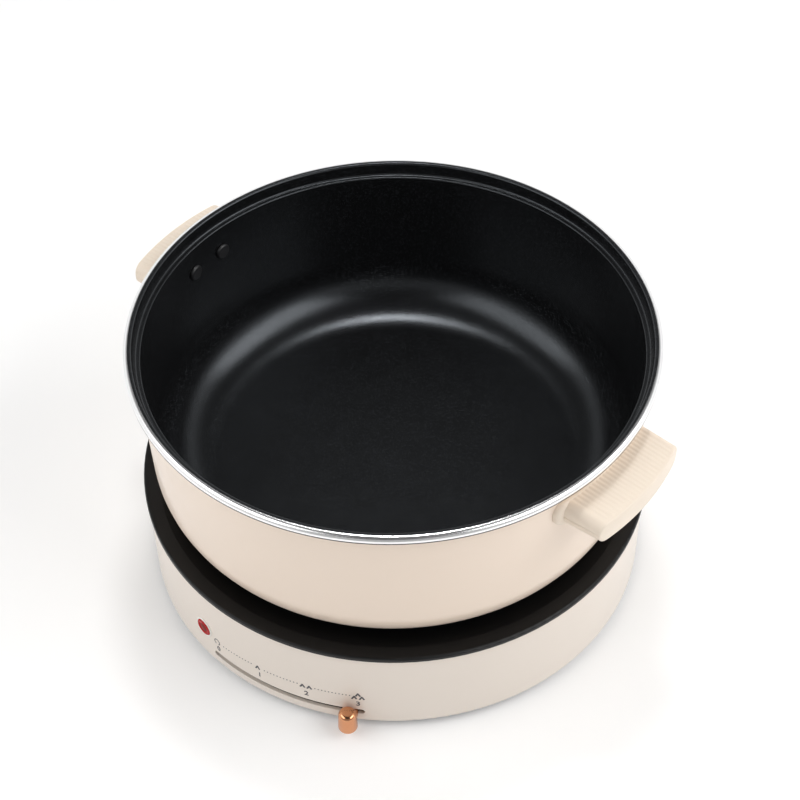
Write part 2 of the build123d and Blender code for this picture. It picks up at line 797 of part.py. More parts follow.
# Bright steel dish that throws the heat back up.
with BuildPart() as heat_shield:
    with BuildSketch(Plane.XY.offset(shield_bottom)):
        Circle(shield_radius)
        Circle(shield_hole, mode=Mode.SUBTRACT)
        with Locations(*spots(post_angles, post_circle)):
            Circle(machine_screw_radius + thread_gap, mode=Mode.SUBTRACT)
        with Locations(*spots(heater_ends, heater_circle)):
            Circle(terminal_hole, mode=Mode.SUBTRACT)
    extrude(amount=shield_metal)
    with BuildSketch(Plane.XY.offset(shield_bottom)):
        Circle(shield_radius)
        Circle(shield_radius - shield_metal, mode=Mode.SUBTRACT)
    extrude(amount=shield_rim)
finish(heat_shield, "heat_shield")

with BuildPart() as plate_posts:
    with BuildSketch(Plane.XY.offset(cover_top)):
        with Locations(*spots(post_angles, post_circle)):
            Circle(post_radius)
            Circle(machine_screw_radius + thread_gap, mode=Mode.SUBTRACT)
    extrude(amount=shield_bottom - cover_top)
finish(plate_posts, "plate_posts")

with BuildPart() as plate_spacers:
    with BuildSketch(Plane.XY.offset(shield_top)):
        with Locations(*spots(post_angles, post_circle)):
            Circle(post_radius)
            Circle(machine_screw_radius + thread_gap, mode=Mode.SUBTRACT)
    extrude(amount=boss_bottom - shield_top)
finish(plate_spacers, "plate_spacers")

# Long screws from under the cover, through posts, shield and spacers into the plate.
with BuildPart() as plate_screws:
    with BuildSketch(Plane.XY.offset(base_bottom)):
        with Locations(*spots(post_angles, post_circle)):
            Circle(machine_head_radius)
    extrude(amount=-machine_head_height)
    with BuildSketch(Plane.XY.offset(base_bottom)):
        with Locations(*spots(post_angles, post_circle)):
            Circle(machine_screw_radius)
    extrude(amount=plate_bottom + thread_depth - seat_gap - base_bottom)
finish(plate_screws, "plate_screws")

# ---------------------------------------------------------------- thermostat

# Sheet bridge under the plate that carries the thermostat and guides the probe.
leg_middle = bridge_leg + bridge_metal / 2
with BuildPart() as thermostat_bridge:
    with BuildSketch(Plane.XZ):
        for side_sign in (-1, 1):
            with Locations((side_sign * bridge_span / 2, bridge_seat - bridge_metal / 2)):
                Rectangle(bridge_flange, bridge_metal)
            with Locations((side_sign * leg_middle, (bridge_seat + web_bottom) / 2)):
                Rectangle(bridge_metal, bridge_drop)
        with Locations((0, web_bottom + bridge_metal / 2)):
            Rectangle(2 * leg_middle, bridge_metal)
    extrude(amount=bridge_width / 2, both=True)
    with BuildSketch(Plane.XY.offset(web_bottom)):
        Circle(probe_hole)
        with GridLocations(thermostat_screws, 1, 2, 1):
            Circle(small_screw_radius + thread_gap)
        with Locations(*bridge_points):
            Circle(small_screw_radius + thread_gap)
    extrude(amount=bridge_drop, mode=Mode.SUBTRACT)
finish(thermostat_bridge, "thermostat_bridge")

# Screws of the bridge and of the fuse clip, up into the plate.
fuse_screw_seat = plate_bottom - fuse_clip_metal
with BuildPart() as bridge_screws:
    with BuildSketch(Plane.XY.offset(bridge_seat - bridge_metal)):
        with Locations(*bridge_points):
            Circle(small_head_radius)
    extrude(amount=-small_head_height)
    with BuildSketch(Plane.XY.offset(bridge_seat - bridge_metal)):
        with Locations(*bridge_points):
            Circle(small_screw_radius)
    extrude(amount=small_screw_length)
    with BuildSketch(Plane.XY.offset(fuse_screw_seat)):
        with Locations((0, fuse_screw)):
            Circle(small_head_radius)
    extrude(amount=-small_head_height)
    with BuildSketch(Plane.XY.offset(fuse_screw_seat)):
        with Locations((0, fuse_screw)):
            Circle(small_screw_radius)
    extrude(amount=thread_depth)
finish(bridge_screws, "bridge_screws")

# Phenolic thermostat block with a bearing for the spindle below it.
with BuildPart() as thermostat_body:
    with BuildSketch(Plane.XY.offset(thermostat_bottom)):
        RectangleRounded(thermostat_length, thermostat_width, spacer_radius / 2)
    extrude(amount=thermostat_height)
    with BuildSketch(Plane.XY.offset(thermostat_bottom)):
        Circle(bearing_radius)
    extrude(amount=-bearing_height)
    with BuildSketch(Plane.XY.offset(thermostat_bottom - bearing_height)):
        Circle(spindle_radius + running_gap)
    extrude(amount=thermostat_height + bearing_height, mode=Mode.SUBTRACT)
    with BuildSketch(Plane.XY.offset(thermostat_top)):
        with GridLocations(thermostat_screws, 1, 2, 1):
            Circle(small_screw_radius + thread_gap)
    extrude(amount=-thread_depth, mode=Mode.SUBTRACT)
finish(thermostat_body, "thermostat_body")

# Blade terminals of the thermostat, towards the inlet.
with BuildPart() as thermostat_tags:
    with BuildSketch(facing(90, thermostat_width / 2, thermostat_middle)):
        with GridLocations(thermostat_blades, 1, 2, 1):
            Rectangle(blade_width, blade_metal)
    extrude(amount=blade_length)
finish(thermostat_tags, "thermostat_blades")

with BuildPart() as thermostat_spacers:
    with BuildSketch(Plane.XY.offset(thermostat_top)):
        with GridLocations(thermostat_screws, 1, 2, 1):
            Circle(spacer_radius)
            Circle(small_screw_radius + thread_gap, mode=Mode.SUBTRACT)
    extrude(amount=thermostat_hang)
finish(thermostat_spacers, "thermostat_spacers")

with BuildPart() as thermostat_screw_set:
    with BuildSketch(Plane.XY.offset(web_top)):
        with GridLocations(thermostat_screws, 1, 2, 1):
            Circle(small_head_radius)
    extrude(amount=small_head_height)
    with BuildSketch(Plane.XY.offset(web_top)):
        with GridLocations(thermostat_screws, 1, 2, 1):
            Circle(small_screw_radius)
    extrude(amount=thermostat_top - thread_depth + seat_gap - web_top)
finish(thermostat_screw_set, "thermostat_screws")

# Thermal fuse in its spring clip against the underside of the plate.
with BuildPart() as thermal_fuse:
    with BuildSketch(Plane.YZ.offset(-fuse_length / 2)):
        with Locations((fuse_place, fuse_level)):
            Circle(fuse_radius)
    extrude(amount=fuse_length)
finish(thermal_fuse, "thermal_fuse")

with BuildPart() as fuse_clip:
    with BuildSketch(Plane.YZ.offset(-fuse_clip_width / 2)):
        with Locations((fuse_place, fuse_level)):
            Circle(fuse_clip_outer)
        with Locations((fuse_screw - fuse_clip_outer / 2, plate_bottom - fuse_clip_metal / 2)):
            Rectangle(fuse_ear + fuse_clip_outer, fuse_clip_metal)
        with Locations((fuse_place, fuse_level)):
            Circle(fuse_clip_inner, mode=Mode.SUBTRACT)
    extrude(amount=fuse_clip_width)
    with BuildSketch(Plane.XY.offset(plate_bottom)):
        with Locations((0, fuse_screw)):
            Circle(small_screw_radius + thread_gap)
    extrude(amount=-fuse_clip_metal, mode=Mode.SUBTRACT)
finish(fuse_clip, "fuse_clip")

# ---------------------------------------------------------------- sensing probe

# Cup that the spring presses against the underside of the pot.
with BuildPart() as probe_cap:
    with BuildSketch(Plane.XY.offset(probe_top)):
        Circle(probe_radius)
    extrude(amount=-probe_cup_height)
    fillet(probe_cap.edges().group_by(Axis.Z)[-1], probe_wall)
    with BuildSketch(Plane.XY.offset(probe_top - probe_cup_height)):
        Circle(probe_radius - probe_wall)
    extrude(amount=probe_cup_height - probe_wall, mode=Mode.SUBTRACT)
finish(probe_cap, "probe_cap")

with BuildPart() as probe_stem_pin:
    with BuildSketch(Plane.XY.offset(stem_bottom)):
        Circle(probe_stem)
    extrude(amount=probe_ceiling - stem_bottom)
    with BuildSketch(Plane.XY.offset(clip_bottom)):
        Circle(probe_stem + clip_groove)
        Circle(probe_stem - clip_groove, mode=Mode.SUBTRACT)
    extrude(amount=clip_metal, mode=Mode.SUBTRACT)
finish(probe_stem_pin, "probe_stem")

with BuildPart() as probe_clip:
    with BuildSketch(Plane.XY.offset(clip_bottom)):
        Circle(clip_radius)
        Circle(probe_stem - clip_groove + thread_gap, mode=Mode.SUBTRACT)
        with Locations((clip_radius, 0)):
            Rectangle(2 * clip_radius, 2 * clip_groove, mode=Mode.SUBTRACT)
    extrude(amount=clip_metal)
finish(probe_clip, "probe_clip")

spring_low = web_top + spring_wire
spring_high = probe_ceiling - spring_wire
with BuildPart() as probe_spring:
    with BuildLine() as coil:
        Helix((spring_high - spring_low) / spring_turns, spring_high - spring_low, spring_radius,
              center=(0, 0, spring_low))
    with BuildSketch(Plane(origin=coil.line @ 0, z_dir=coil.line % 0)):
        Circle(spring_wire)
    sweep()
finish(probe_spring, "probe_spring")

# ---------------------------------------------------------------- lever

# Brass spindle that the lever turns in the thermostat.
spindle_seat = thermostat_top + seat_gap
with BuildPart() as thermostat_spindle:
    with BuildSketch(Plane.XY.offset(lever_top)):
        Circle(spindle_radius)
    extrude(amount=spindle_seat - lever_top)
    with BuildSketch(Plane.XY.offset(spindle_seat)):
        Circle(spindle_head_radius)
    extrude(amount=spindle_head_height)
    with BuildSketch(Plane.XY.offset(lever_top)):
        Circle(small_screw_radius + thread_gap)
    extrude(amount=small_screw_length, mode=Mode.SUBTRACT)
finish(thermostat_spindle, "thermostat_spindle")

with BuildPart() as spindle_screw:
    with BuildSketch(Plane.XY.offset(lever_bottom)):
        Circle(small_head_radius)
    extrude(amount=-small_head_height)
    with BuildSketch(Plane.XY.offset(lever_bottom)):
        Circle(small_screw_radius)
    extrude(amount=small_screw_length)
finish(spindle_screw, "spindle_screw")

# Flat steel arm from the spindle out through the slot.
with BuildPart() as lever_arm:
    with BuildSketch(Plane.XY.offset(lever_bottom)):
        Circle(hub_radius)
        with Locations(spot(lever_angle, knob_circle / 2)):
            Rectangle(knob_circle, lever_width, rotation=lever_angle)
        Circle(small_screw_radius + thread_gap, mode=Mode.SUBTRACT)
    extrude(amount=lever_metal)
finish(lever_arm, "lever_arm")

# Plated knob moulded on the end of the arm.
with BuildPart() as lever_knob:
    with BuildSketch(facing(lever_angle, neck_start, slot_level)):
        RectangleRounded(neck_width, neck_thickness, neck_round)
    extrude(amount=knob_circle - neck_start)
    with BuildPart(mode=Mode.PRIVATE) as barrel:
        knob_x, knob_y = spot(lever_angle, knob_circle)
        with Locations((knob_x, knob_y, knob_bottom)):
            Cone(
                knob_bottom_radius,
                knob_top_radius,
                knob_height,
                align=(Align.CENTER, Align.CENTER, Align.MIN),
            )
        fillet(barrel.edges().filter_by(GeomType.CIRCLE), neck_round)
    add(barrel.part)
    with BuildSketch(facing(lever_angle, neck_start, slot_level)):
        Rectangle(lever_width + 2 * thread_gap, lever_metal + 2 * thread_gap)
    extrude(amount=knob_circle - neck_start + thread_gap, mode=Mode.SUBTRACT)
finish(lever_knob, "lever_knob")

# ---------------------------------------------------------------- pilot lamp

lens_start = base_radius - lamp_barrel
collar_face = wall_inside - lamp_wall / 2
with BuildPart() as lamp_lens:
    with BuildSketch(facing(lamp_angle, lens_start, lamp_level)):
        Circle(lamp_radius)
    extrude(amount=lamp_barrel + lamp_proud)
    fillet(lamp_lens.faces().sort_by_distance((0, 0, lamp_level))[-1].edges(), lamp_proud * 0.9)
    with BuildSketch(facing(lamp_angle, collar_face, lamp_level)):
        Circle(lamp_collar)
    extrude(amount=-lamp_wall)
    with BuildSketch(facing(lamp_angle, lens_start, lamp_level)):
        Circle(lamp_radius - lamp_wall)
    extrude(amount=lamp_barrel + lamp_proud - 2 * lamp_wall, mode=Mode.SUBTRACT)
finish(lamp_lens, "lamp_lens")

holder_end = collar_face - lamp_wall
holder_start = lens_start - holder_depth
with BuildPart() as lamp_holder:
    with BuildSketch(facing(lamp_angle, holder_start, lamp_level)):
        Circle(lamp_collar)
        Circle(bulb_radius + thread_gap, mode=Mode.SUBTRACT)
    extrude(amount=holder_end - holder_start)
    with BuildSketch(facing(lamp_angle, lens_start, lamp_level)):
        Circle(lamp_radius + thread_gap)
    extrude(amount=holder_end - lens_start, mode=Mode.SUBTRACT)
finish(lamp_holder, "lamp_holder")

bulb_start = holder_start + bulb_radius
bulb_end = base_radius + lamp_proud - 2 * lamp_wall - bulb_radius / 2
with BuildPart() as neon_bulb:
    with BuildSketch(facing(lamp_angle, bulb_start, lamp_level)):
        Circle(bulb_radius)
    extrude(amount=bulb_end - bulb_start)
    fillet(neon_bulb.faces().sort_by_distance((0, 0, lamp_level))[-1].edges(), bulb_radius * 0.8)
finish(neon_bulb, "neon_bulb")

# ---------------------------------------------------------------- power inlet

# Three-blade appliance inlet that stands out of the back of the housing.
inlet_outer = base_radius + inlet_flange_metal
with BuildPart() as inlet_socket:
    with BuildSketch(facing(90, wall_inside - base_wall, inlet_level)):
        RectangleRounded(
            inlet_width + 2 * inlet_flange,
            inlet_height + 2 * inlet_flange_height,
            inlet_wall,
        )
        with GridLocations(inlet_screws, 1, 2, 1):
            Circle(small_screw_radius + thread_gap, mode=Mode.SUBTRACT)
    extrude(amount=inlet_outer - wall_inside + base_wall)
    with BuildSketch(Plane.XY.offset(base_bottom)):
        Circle(base_radius + thread_gap)
    extrude(amount=base_height, mode=Mode.SUBTRACT)
    with BuildSketch(facing(90, inlet_start, inlet_level)):
        RectangleRounded(inlet_width, inlet_height, inlet_wall)
    extrude(amount=knob_reach - inlet_start)
    with BuildSketch(facing(90, inlet_start + inlet_back, inlet_level)):
        RectangleRounded(inlet_width - 2 * inlet_wall, inlet_height - 2 * inlet_wall, inlet_wall)
    extrude(amount=inlet_depth, mode=Mode.SUBTRACT)
    with BuildSketch(facing(90, inlet_start, inlet_level)):
        with Locations((-pin_spacing, 0), (0, earth_offset), (pin_spacing, 0)):
            Rectangle(pin_width + 2 * thread_gap, pin_height + 2 * thread_gap)
    extrude(amount=inlet_back, mode=Mode.SUBTRACT)
finish(inlet_socket, "inlet_socket")

with BuildPart() as inlet_blades:
    with BuildSketch(facing(90, pin_start, inlet_level)):
        with Locations((-pin_spacing, 0), (0, earth_offset), (pin_spacing, 0)):
            Rectangle(pin_width, pin_height)
    extrude(amount=pin_end - pin_start)
finish(inlet_blades, "inlet_blades")

with BuildPart() as inlet_screw_set:
    with BuildSketch(facing(90, inlet_outer, inlet_level)):
        with GridLocations(inlet_screws, 1, 2, 1):
            Circle(small_head_radius)
    extrude(amount=small_head_height)
    with BuildSketch(facing(90, inlet_outer, inlet_level)):
        with GridLocations(inlet_screws, 1, 2, 1):
            Circle(small_screw_radius)
    extrude(amount=-small_screw_length)
finish(inlet_screw_set, "inlet_screws")

# ---------------------------------------------------------------- lead wires

# Insulated leads between inlet, thermostat, fuse, heater and pilot lamp.
low_run = shield_bottom - wire_low
high_run = shield_bottom - wire_high
blade_end = thermostat_width / 2 + blade_length
fuse_end = fuse_length / 2
fuse_turn = fuse_end + wire_slack - 4 * wire_radius
heater_x, heater_y = spot(heater_ends[1], heater_circle)
lamp_start = facing(lamp_angle, bulb_start, lamp_level)
lamp_line = [
    [lamp_start.from_local_coords((turn * wire_spread, 0, -run)) for run in (0, wire_slack)]
    for turn in (1, -1)
]


def lead(*points):
    """Round wire along straight runs joined by equal arcs."""
    with BuildPart() as wire:
        with BuildLine() as run:
            FilletPolyline(*points, radius=wire_bend)
        with BuildSketch(Plane(origin=run.line @ 0, z_dir=run.line % 0)):
            Circle(wire_radius)
        sweep()
    return wire.part


with BuildPart() as lead_wires:
    add(
        lead(
            (pin_spacing, pin_start, inlet_level),
            (pin_spacing, pin_start - wire_slack, inlet_level),
            (thermostat_blades / 2, blade_end + 3 * wire_slack, thermostat_middle),
            (thermostat_blades / 2, blade_end, thermostat_middle),
        )
    )
    add(
        lead(
            (-thermostat_blades / 2, blade_end, thermostat_middle),
            (-thermostat_blades / 2, blade_end + wire_slack, thermostat_middle),
            (wire_spread - heater_x, heater_y, low_run - wire_radius),
            (wire_spread - heater_x, heater_y, blade_bottom),
        )
    )
    add(
        lead(
            (-pin_spacing, pin_start, inlet_level - wire_spread),
            (-pin_spacing, pin_start - wire_slack, inlet_level - wire_spread),
            (-fuse_turn, fuse_place, high_run),
            (-fuse_turn, fuse_place, fuse_level),
            (-fuse_end, fuse_place, fuse_level),
        )
    )
    add(
        lead(
            (fuse_end, fuse_place, fuse_level),
            (fuse_turn, fuse_place, fuse_level),
            (fuse_turn, fuse_place, high_run),
            (heater_x, heater_y, low_run),
            (heater_x, heater_y, blade_bottom),
        )
    )
    add(
        lead(
            *lamp_line[0],
            (-wire_spread - heater_x, heater_y, low_run - wire_radius),
            (-wire_spread - heater_x, heater_y, blade_bottom),
        )
    )
    add(
        lead(
            *lamp_line[1],
            (-shield_radius, -lamp_radius, high_run),
            (-heater_circle, plate_radius, high_run),
            (-pin_spacing, pin_start - wire_slack, inlet_level + wire_spread),
            (-pin_spacing, pin_start, inlet_level + wire_spread),
        )
    )
    with BuildSketch(facing(90, shield_radius, inlet_level + earth_offset)):
        Circle(wire_radius)
    extrude(amount=pin_start - shield_radius)
finish(lead_wires, "lead_wires")
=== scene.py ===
import json
import math

import bpy
from mathutils import Matrix, Vector


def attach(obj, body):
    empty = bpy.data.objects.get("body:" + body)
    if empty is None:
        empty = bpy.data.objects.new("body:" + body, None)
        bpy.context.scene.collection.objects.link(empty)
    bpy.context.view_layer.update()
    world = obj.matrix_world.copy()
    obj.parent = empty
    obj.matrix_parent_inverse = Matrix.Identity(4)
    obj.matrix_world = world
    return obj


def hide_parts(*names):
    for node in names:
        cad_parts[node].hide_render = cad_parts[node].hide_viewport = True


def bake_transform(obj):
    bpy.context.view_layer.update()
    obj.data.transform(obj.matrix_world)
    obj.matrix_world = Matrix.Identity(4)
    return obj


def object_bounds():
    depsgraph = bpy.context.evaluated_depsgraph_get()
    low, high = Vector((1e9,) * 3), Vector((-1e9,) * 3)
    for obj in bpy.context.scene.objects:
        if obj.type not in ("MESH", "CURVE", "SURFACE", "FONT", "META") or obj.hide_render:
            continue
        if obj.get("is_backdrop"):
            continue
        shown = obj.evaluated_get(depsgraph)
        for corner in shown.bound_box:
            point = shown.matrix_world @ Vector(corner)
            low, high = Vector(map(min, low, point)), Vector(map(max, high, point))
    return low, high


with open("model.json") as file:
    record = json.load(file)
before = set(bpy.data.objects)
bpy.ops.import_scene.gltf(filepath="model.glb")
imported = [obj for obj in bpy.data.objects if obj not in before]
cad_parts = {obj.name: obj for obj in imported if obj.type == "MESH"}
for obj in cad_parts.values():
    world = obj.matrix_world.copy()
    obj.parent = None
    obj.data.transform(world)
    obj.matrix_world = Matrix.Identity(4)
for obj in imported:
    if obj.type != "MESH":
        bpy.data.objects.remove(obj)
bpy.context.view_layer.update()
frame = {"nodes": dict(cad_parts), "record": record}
bpy.ops.object.select_all(action="DESELECT")

# ------------------------------------------------------------------ camera, floor and lights
# The pot stands on a plain white floor. The camera looks down into it from the control
# side, between two wide softboxes, and a small softbox hangs above and behind the pot.

camera_place = Vector((0, -0.74945, 0.90536))
camera_pan, camera_tilt, camera_roll = (math.radians(a) for a in (0.26, 46.56, -0.99))
camera_focal_length, camera_film_width, camera_reach = 84.45, 36, 20
lit_point = Vector((0, 0, 0.1))
floor_width, floor_cuts = 12, 3
bright_up_to, bright_grey = 0.54, (0.95, 0.95, 0.95, 1)
dark_from, dark_grey = 0.66, (0.12, 0.12, 0.12, 1)
dimmest_at, undimmed_from, dimmest_share = -0.95, -0.1, 0.4
ahead = Vector(
    (
        math.sin(camera_pan) * math.cos(camera_tilt),
        math.cos(camera_pan) * math.cos(camera_tilt),
        -math.sin(camera_tilt),
    )
)
level_right = Vector((math.cos(camera_pan), -math.sin(camera_pan), 0))
level_up = level_right.cross(ahead)
picture_right = math.cos(camera_roll) * level_right + math.sin(camera_roll) * level_up
picture_up = math.cos(camera_roll) * level_up - math.sin(camera_roll) * level_right
bpy.ops.object.camera_add(location=camera_place)
camera = bpy.context.object
camera.name = "camera"
camera.rotation_mode = "QUATERNION"
camera_axes = Matrix((picture_right, picture_up, -ahead)).transposed()
camera.rotation_quaternion = camera_axes.to_quaternion()
camera.data.lens = camera_focal_length
camera.data.sensor_width = camera_film_width
camera.data.clip_end = camera_reach
bpy.context.scene.camera = camera
bpy.context.scene.view_settings.view_transform = "Standard"


def softbox(name, azimuth, elevation, distance, width, height, power):
    """An area light that faces the pot. Azimuth 0 is in front of the controls."""
    a, e = math.radians(azimuth), math.radians(elevation)
    out = Vector((math.sin(a) * math.cos(e), -math.cos(a) * math.cos(e), math.sin(e)))
    bpy.ops.object.light_add(type="AREA", location=lit_point + out * distance)
    light = bpy.context.object
    light.name = name
    light.rotation_mode = "QUATERNION"
    light.rotation_quaternion = out.to_track_quat("Z", "Y")
    light.data.shape = "RECTANGLE"
    light.data.size, light.data.size_y = width, height
    light.data.energy = power
    light.select_set(False)


softbox("softbox_left", -72, 45, 1.8, 1.7, 0.8, 11)
softbox("softbox_right", 72, 45, 1.8, 1.7, 0.8, 18)
softbox("softbox_top", 180, 74.5, 1.6, 0.26, 0.3, 6.5)

bpy.ops.mesh.primitive_plane_add(size=floor_width, location=(0, 0, 0))
floor = bpy.context.object
floor.name = "floor"
bpy.ops.object.mode_set(mode="EDIT")
bpy.ops.mesh.subdivide(number_cuts=floor_cuts)
bpy.ops.object.mode_set(mode="OBJECT")
floor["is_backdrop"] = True
floor.select_set(False)


class Wire:
    """An output of a node. Sums, products and comparisons of wires add Math nodes."""

    def __init__(self, nodes, socket):
        self.nodes, self.socket = nodes, socket

    def math(self, operation, first, second):
        return self.nodes.node("ShaderNodeMath", {"operation": operation}, {0: first, 1: second})

    def __add__(self, other):
        return self.math("ADD", self, other)

    def __radd__(self, other):
        return self.math("ADD", other, self)

    def __sub__(self, other):
        return self.math("SUBTRACT", self, other)

    def __rsub__(self, other):
        return self.math("SUBTRACT", other, self)

    def __mul__(self, other):
        return self.math("MULTIPLY", self, other)

    def __rmul__(self, other):
        return self.math("MULTIPLY", other, self)

    def __gt__(self, other):
        return self.math("GREATER_THAN", self, other)

    def __lt__(self, other):
        return self.math("LESS_THAN", self, other)


class Nodes:
    """The nodes behind one shader. They are added one at a time by node()."""

    def __init__(self, tree, shader):
        self.tree, self.shader = tree, tree.nodes[shader]

    def node(self, kind, settings=None, sockets=None, output=0):
        made = self.tree.nodes.new(kind)
        for setting, value in (settings or {}).items():
            if setting == "stops":
                for stop, (place, colour) in zip(made.color_ramp.elements, value):
                    stop.position, stop.color = place, colour
            else:
                setattr(made, setting, value)
        for socket, value in (sockets or {}).items():
            if isinstance(value, Wire):
                self.tree.links.new(value.socket, made.inputs[socket])
            else:
                made.inputs[socket].default_value = value
        return Wire(self, made.outputs[output])

    def feed(self, socket, wire):
        self.tree.links.new(wire.socket, self.shader.inputs[socket])


# The room's light is bright up to 33 degrees above the horizon and dark from 41 degrees
# up, and it is dimmer in front of the pot than at its sides and behind it.
world = bpy.data.worlds.new("studio")
bpy.context.scene.world = world
world.use_nodes = True
room = Nodes(world.node_tree, "Background")
direction = room.node("ShaderNodeTexCoord", output="Generated")
by_height = room.node(
    "ShaderNodeValToRGB",
    {"stops": ((bright_up_to, bright_grey), (dark_from, dark_grey))},
    {"Fac": room.node("ShaderNodeSeparateXYZ", {}, {"Vector": direction}, output="Z")},
)
by_side = room.node(
    "ShaderNodeMapRange",
    {},
    {
        "Value": room.node("ShaderNodeSeparateXYZ", {}, {"Vector": direction}, output="Y"),
        "From Min": dimmest_at,
        "From Max": undimmed_from,
        "To Min": dimmest_share,
    },
)
room.feed(
    "Color",
    room.node(
        "ShaderNodeMix",
        {"data_type": "RGBA", "blend_type": "MULTIPLY"},
        {0: 1, 6: by_height, 7: by_side},
        output=2,
    ),
)


class Finish(Nodes):
    """A material on one shader, with the steps that the finishes of the pot share."""

    def __init__(self, name, constants):
        self.material = bpy.data.materials.new(name)
        self.material.use_nodes = True
        super().__init__(self.material.node_tree, "Principled BSDF")
        for socket, value in constants.items():
            self.shader.inputs[socket].default_value = value

    def place(self, stretch=(1, 1, 1), shift=(0, 0, 0)):
        spot = self.node("ShaderNodeTexCoord", output="Object")
        return self.node(
            "ShaderNodeMapping", {}, {"Vector": spot, "Scale": stretch, "Location": shift}
        )

    def noise(self, scale, detail=2.0):
        return self.node(
            "ShaderNodeTexNoise", {}, {"Vector": self.place(), "Scale": scale, "Detail": detail}
        )

    def colour(self, first, second, share):
        """Mixes two colours over the surface and feeds them to the shader."""
        self.feed(
            "Base Color",
            self.node(
                "ShaderNodeMix",
                {"data_type": "RGBA"},
                {0: share, 6: first, 7: second},
                output=2,
            ),
        )

    def bump(self, height, distance, strength):
        self.feed(
            "Normal",
            self.node(
                "ShaderNodeBump",
                {},
                {"Height": height, "Distance": distance, "Strength": strength},
            ),
        )


paper = Finish(
    "white_floor",
    {
        "Roughness": 0.6,
        "Specular IOR Level": 0.2,
        "Emission Color": (1, 1, 1, 1),
        "Emission Strength": 0.14,
    },
)
paper.colour((0.93, 0.93, 0.93, 1), (0.9, 0.9, 0.9, 1), paper.noise(0.8))
floor.data.materials.append(paper.material)

# ------------------------------------------------------------------ pot
# A cast aluminium bowl with a wide bottom corner, a flared lip and a ledge for a lid.
# It is enamelled cream outside and has a black non-stick coat inside. The bead round its
# lip is polished bare, with a thin strip of the black coat painted along its lower edge as
# shade under the bead, and the underside is machined bare.

MM = 0.001
same_place, weld_distance = 1e-6, 2e-6
pot_foot, pot_floor, ledge_level, rim_level = 64.6, 67.6, 163, 170.8
neck_radius, neck_level = 144.5, 160.4
lip_radius, bead_radius, bead_foot, painted_shade_top = 148.6, 151, 166.8, 167.8
pot_corners = [
    (0, pot_foot), (141.32, pot_foot, 30), (neck_radius, neck_level, 3), (lip_radius, 164.5, 1.6),
    (lip_radius, bead_foot, 0.3), (bead_radius, bead_foot, 0.35), (bead_radius, painted_shade_top),
    (bead_radius, rim_level, 2.9), (145.7, rim_level, 1.5), (144.6, ledge_level, 1.4),
    (141.5, ledge_level, 0.9), (138.42, pot_floor, 34), (0, pot_floor),
]
# Levels and radii that part the polish, the black coat and the bare underside.
polish_level, polish_inside, polish_top = 166.7, 148.7, 169.9
coat_outside, underside_level = 147.9, 65.2


def draw_line(name, points):
    """Draws edges from point to point, in millimetres, and leaves edit mode on."""
    bpy.ops.object.select_all(action="DESELECT")
    bpy.ops.mesh.primitive_plane_add(size=MM, location=(0, 0, 0))
    piece = bpy.context.object
    piece.name = piece.data.name = name
    bpy.ops.object.mode_set(mode="EDIT")
    bpy.ops.mesh.select_all(action="SELECT")
    bpy.ops.mesh.merge(type="CENTER")
    bpy.ops.transform.translate(value=tuple(a * MM for a in points[0]))
    for start, end in zip(points, points[1:]):
        bpy.ops.mesh.extrude_region_move(
            TRANSFORM_OT_translate={"value": tuple((b - a) * MM for a, b in zip(start, end))}
        )
    return piece


def draw_section(name, corners, segments=8):
    """Draws an upright section in the XZ plane, from corner to corner. The third value of
    a corner is the radius it is rounded to, with so many segments in a quarter circle."""
    piece = draw_line(name, [(x, 0, z) for x, z, *_ in corners])
    for before, corner, after in zip(corners, corners[1:], corners[2:]):
        if len(corner) == 2:
            continue
        x, z, radius = corner
        into, out = Vector((x - before[0], z - before[1])), Vector((after[0] - x, after[1] - z))
        turn = into.angle(out)
        spot = Vector((x, 0, z)) * MM
        pick(piece, lambda p: abs(p.x - spot.x) < same_place and abs(p.z - spot.z) < same_place)
        bpy.ops.mesh.bevel(
            affect="VERTICES",
            offset=radius * math.tan(turn / 2) * MM,
            segments=max(3, round(segments * turn / (math.pi / 2))),
            profile=0.5,
            clamp_overlap=False,
        )
    bpy.ops.mesh.select_all(action="SELECT")
    return piece


def pick(piece, test):
    """Selects the vertices whose place passes a test, and leaves edit mode on."""
    bpy.ops.object.mode_set(mode="OBJECT")
    for part in (piece.data.polygons, piece.data.edges):
        part.foreach_set("select", [False] * len(part))
    for vertex in piece.data.vertices:
        vertex.select = bool(test(vertex.co))
    bpy.ops.object.mode_set(mode="EDIT")
    bpy.ops.mesh.select_mode(type="VERT")


def close_up(angle):
    """Merges doubles, turns the faces outwards and shades them smooth up to an angle."""
    bpy.ops.object.mode_set(mode="EDIT")
    bpy.ops.mesh.select_all(action="SELECT")
    bpy.ops.mesh.remove_doubles(threshold=weld_distance)
    bpy.ops.mesh.normals_make_consistent(inside=False)
    bpy.ops.object.mode_set(mode="OBJECT")
    bpy.ops.object.shade_smooth_by_angle(angle=math.radians(angle))


def spin_round(steps, angle):
    """Spins the selected section into a full turn about the upright axis."""
    bpy.ops.mesh.spin(steps=steps, angle=math.tau, center=(0, 0, 0), axis=(0, 0, 1))
    close_up(angle)


def coat(piece, finish, test=None):
    """Gives a finish to the faces whose middle and normal pass a test, or to all."""
    piece.data.materials.append(finish.material)
    index = len(piece.data.materials) - 1
    for face in piece.data.polygons:
        if test is None or test(face.center / MM, face.normal):
            face.material_index = index


def fit(piece, body, slot, *nodes):
    """Attaches a piece to its body and hides the plain parts it stands for; slot is not used."""
    piece.select_set(False)
    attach(piece, body)
    if nodes:
        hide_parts(*nodes)


